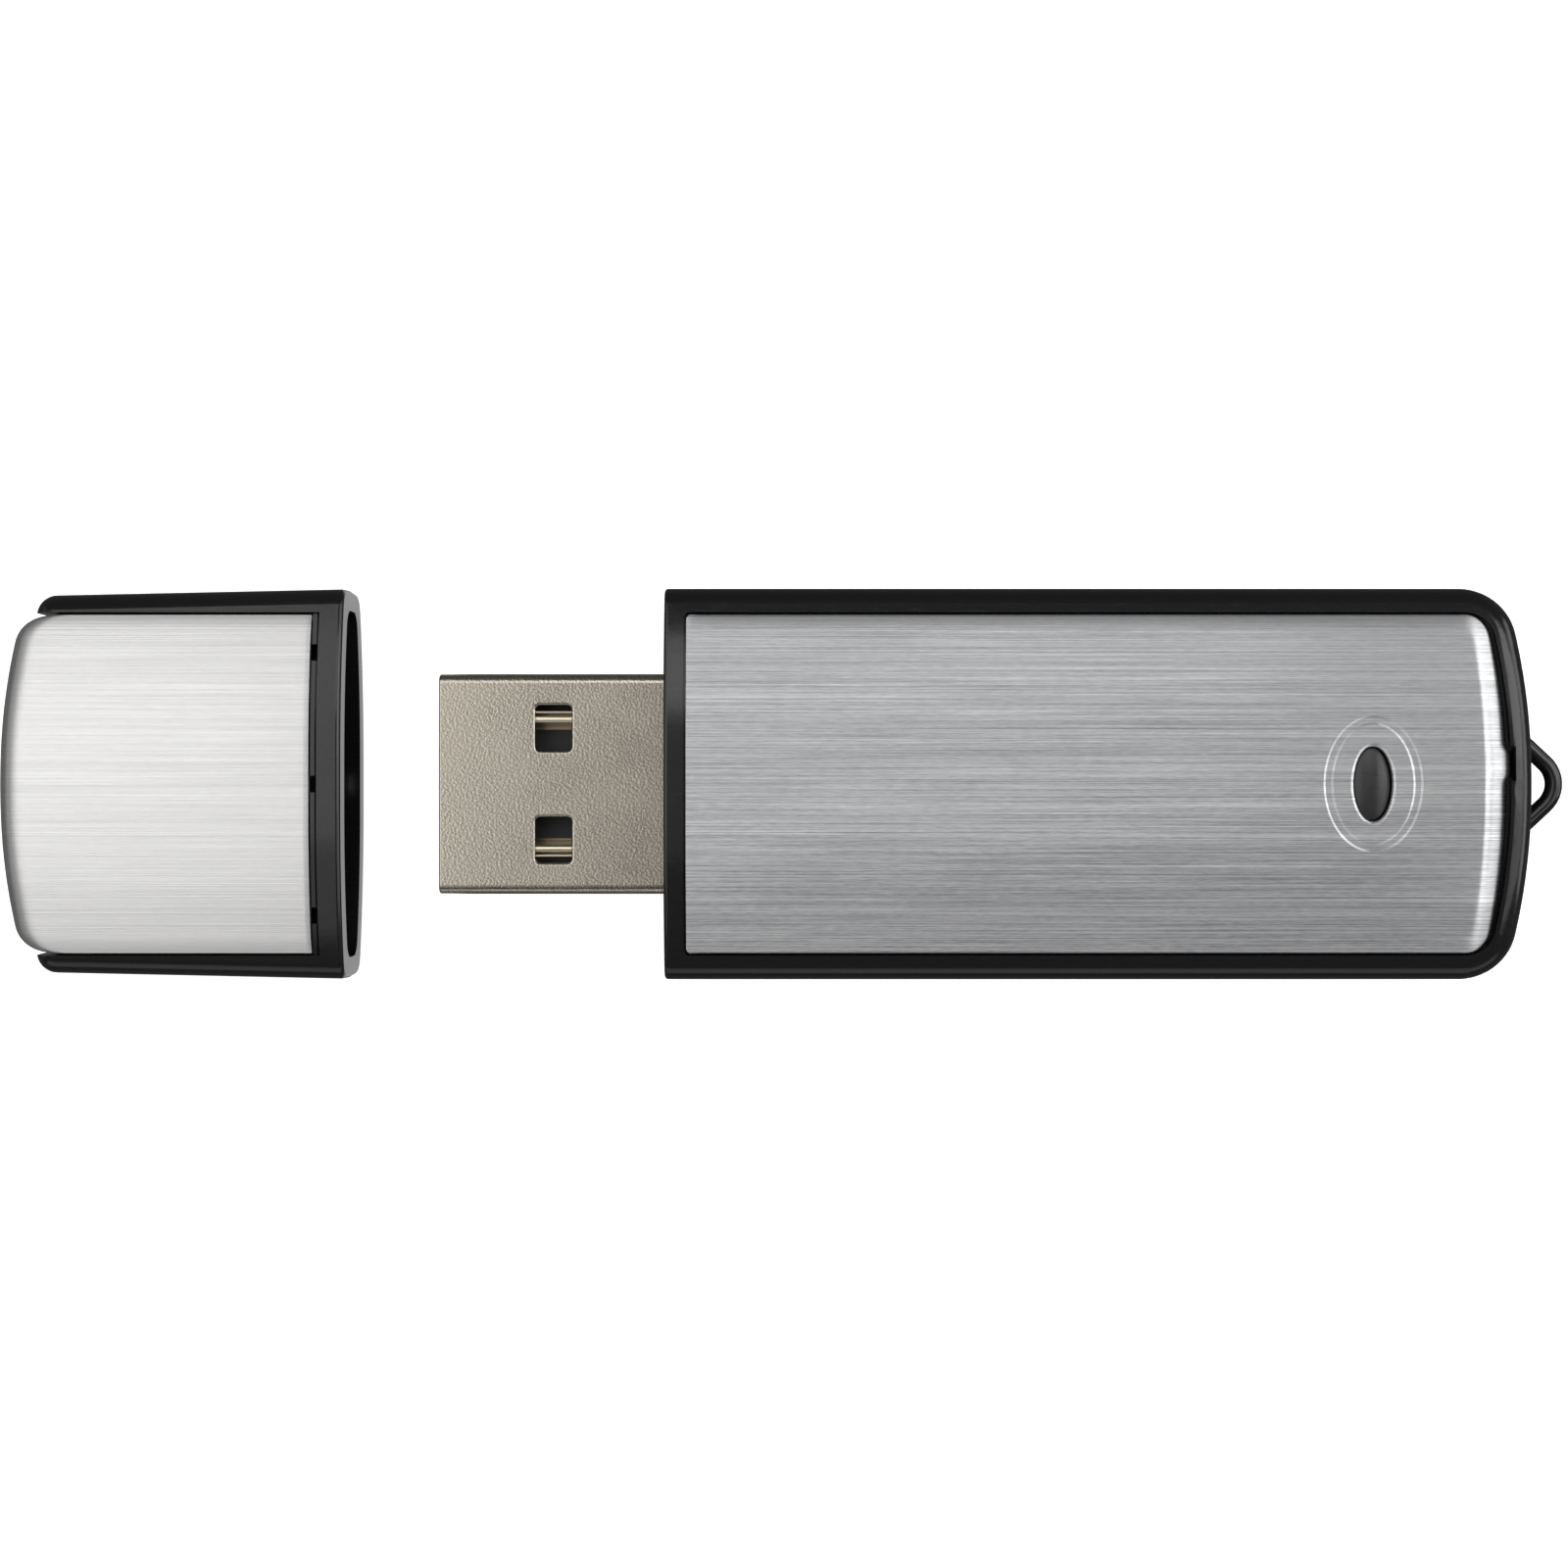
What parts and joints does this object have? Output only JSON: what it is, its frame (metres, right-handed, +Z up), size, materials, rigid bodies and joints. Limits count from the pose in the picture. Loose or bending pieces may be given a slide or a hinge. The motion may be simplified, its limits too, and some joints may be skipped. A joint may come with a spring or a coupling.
{
  "type": "usb flash drive",
  "caption": "Flat arched memory stick with a USB-A plug, brushed metal plates in a black plastic frame, an oval light window, a lanyard eye and a matching pull-off cap.",
  "frame": {"origin": "middle of the layout's underside: halfway between the closed end of the cap and the tip of the lanyard eye, on the surface that the back rests on", "axes": "+X along the drive from the cap towards the lanyard eye, the way the plug points away from; +Y across the width; +Z up through the face with the light window"},
  "size_m": [0.0856, 0.0214, 0.0086],
  "materials": {
    "black_plastic": "glossy moulded black",
    "brushed_plate": "brushed along the length",
    "adhesive_tape": "double-sided tape",
    "smoked_lens": "smoked, polished",
    "plug_nickel": "nickel plated, fine grainy satin",
    "insulator": "moulded black, matt",
    "contact_gold": "gold flash",
    "board_laminate": "green solder mask",
    "chip_epoxy": "moulded epoxy",
    "solder_tin": "tinned",
    "led_body": "clear resin on a white base",
    "capacitor_ceramic": "fired ceramic"
  },
  "bodies": {
    "drive": {"upper_shell": "black_plastic", "lower_shell": "black_plastic", "front_plate": "brushed_plate", "back_plate": "brushed_plate", "front_plate_tape": "adhesive_tape", "back_plate_tape": "adhesive_tape", "led_lens": "smoked_lens", "plug_shell": "plug_nickel", "plug_tongue": "insulator", "contact_vbus": "contact_gold", "contact_data_minus": "contact_gold", "contact_data_plus": "contact_gold", "contact_ground": "contact_gold", "circuit_board": "board_laminate", "memory_chip": "chip_epoxy", "memory_chip_leads": "solder_tin", "controller_chip": "chip_epoxy", "controller_chip_leads": "solder_tin", "crystal": "plug_nickel", "status_led": "led_body", "capacitors": "capacitor_ceramic", "resistors": "chip_epoxy", "contact_solder": "solder_tin", "tab_solder": "solder_tin"},
    "cap": {"cap_core": "black_plastic", "cap_wrap": "brushed_plate", "cap_tape": "adhesive_tape"}
  },
  "joints": [
    {"name": "cap_slide", "type": "slide", "parent": "drive", "child": "cap", "axis": [1, 0, 0], "range_m": [0, 0.01732]}
  ]
}
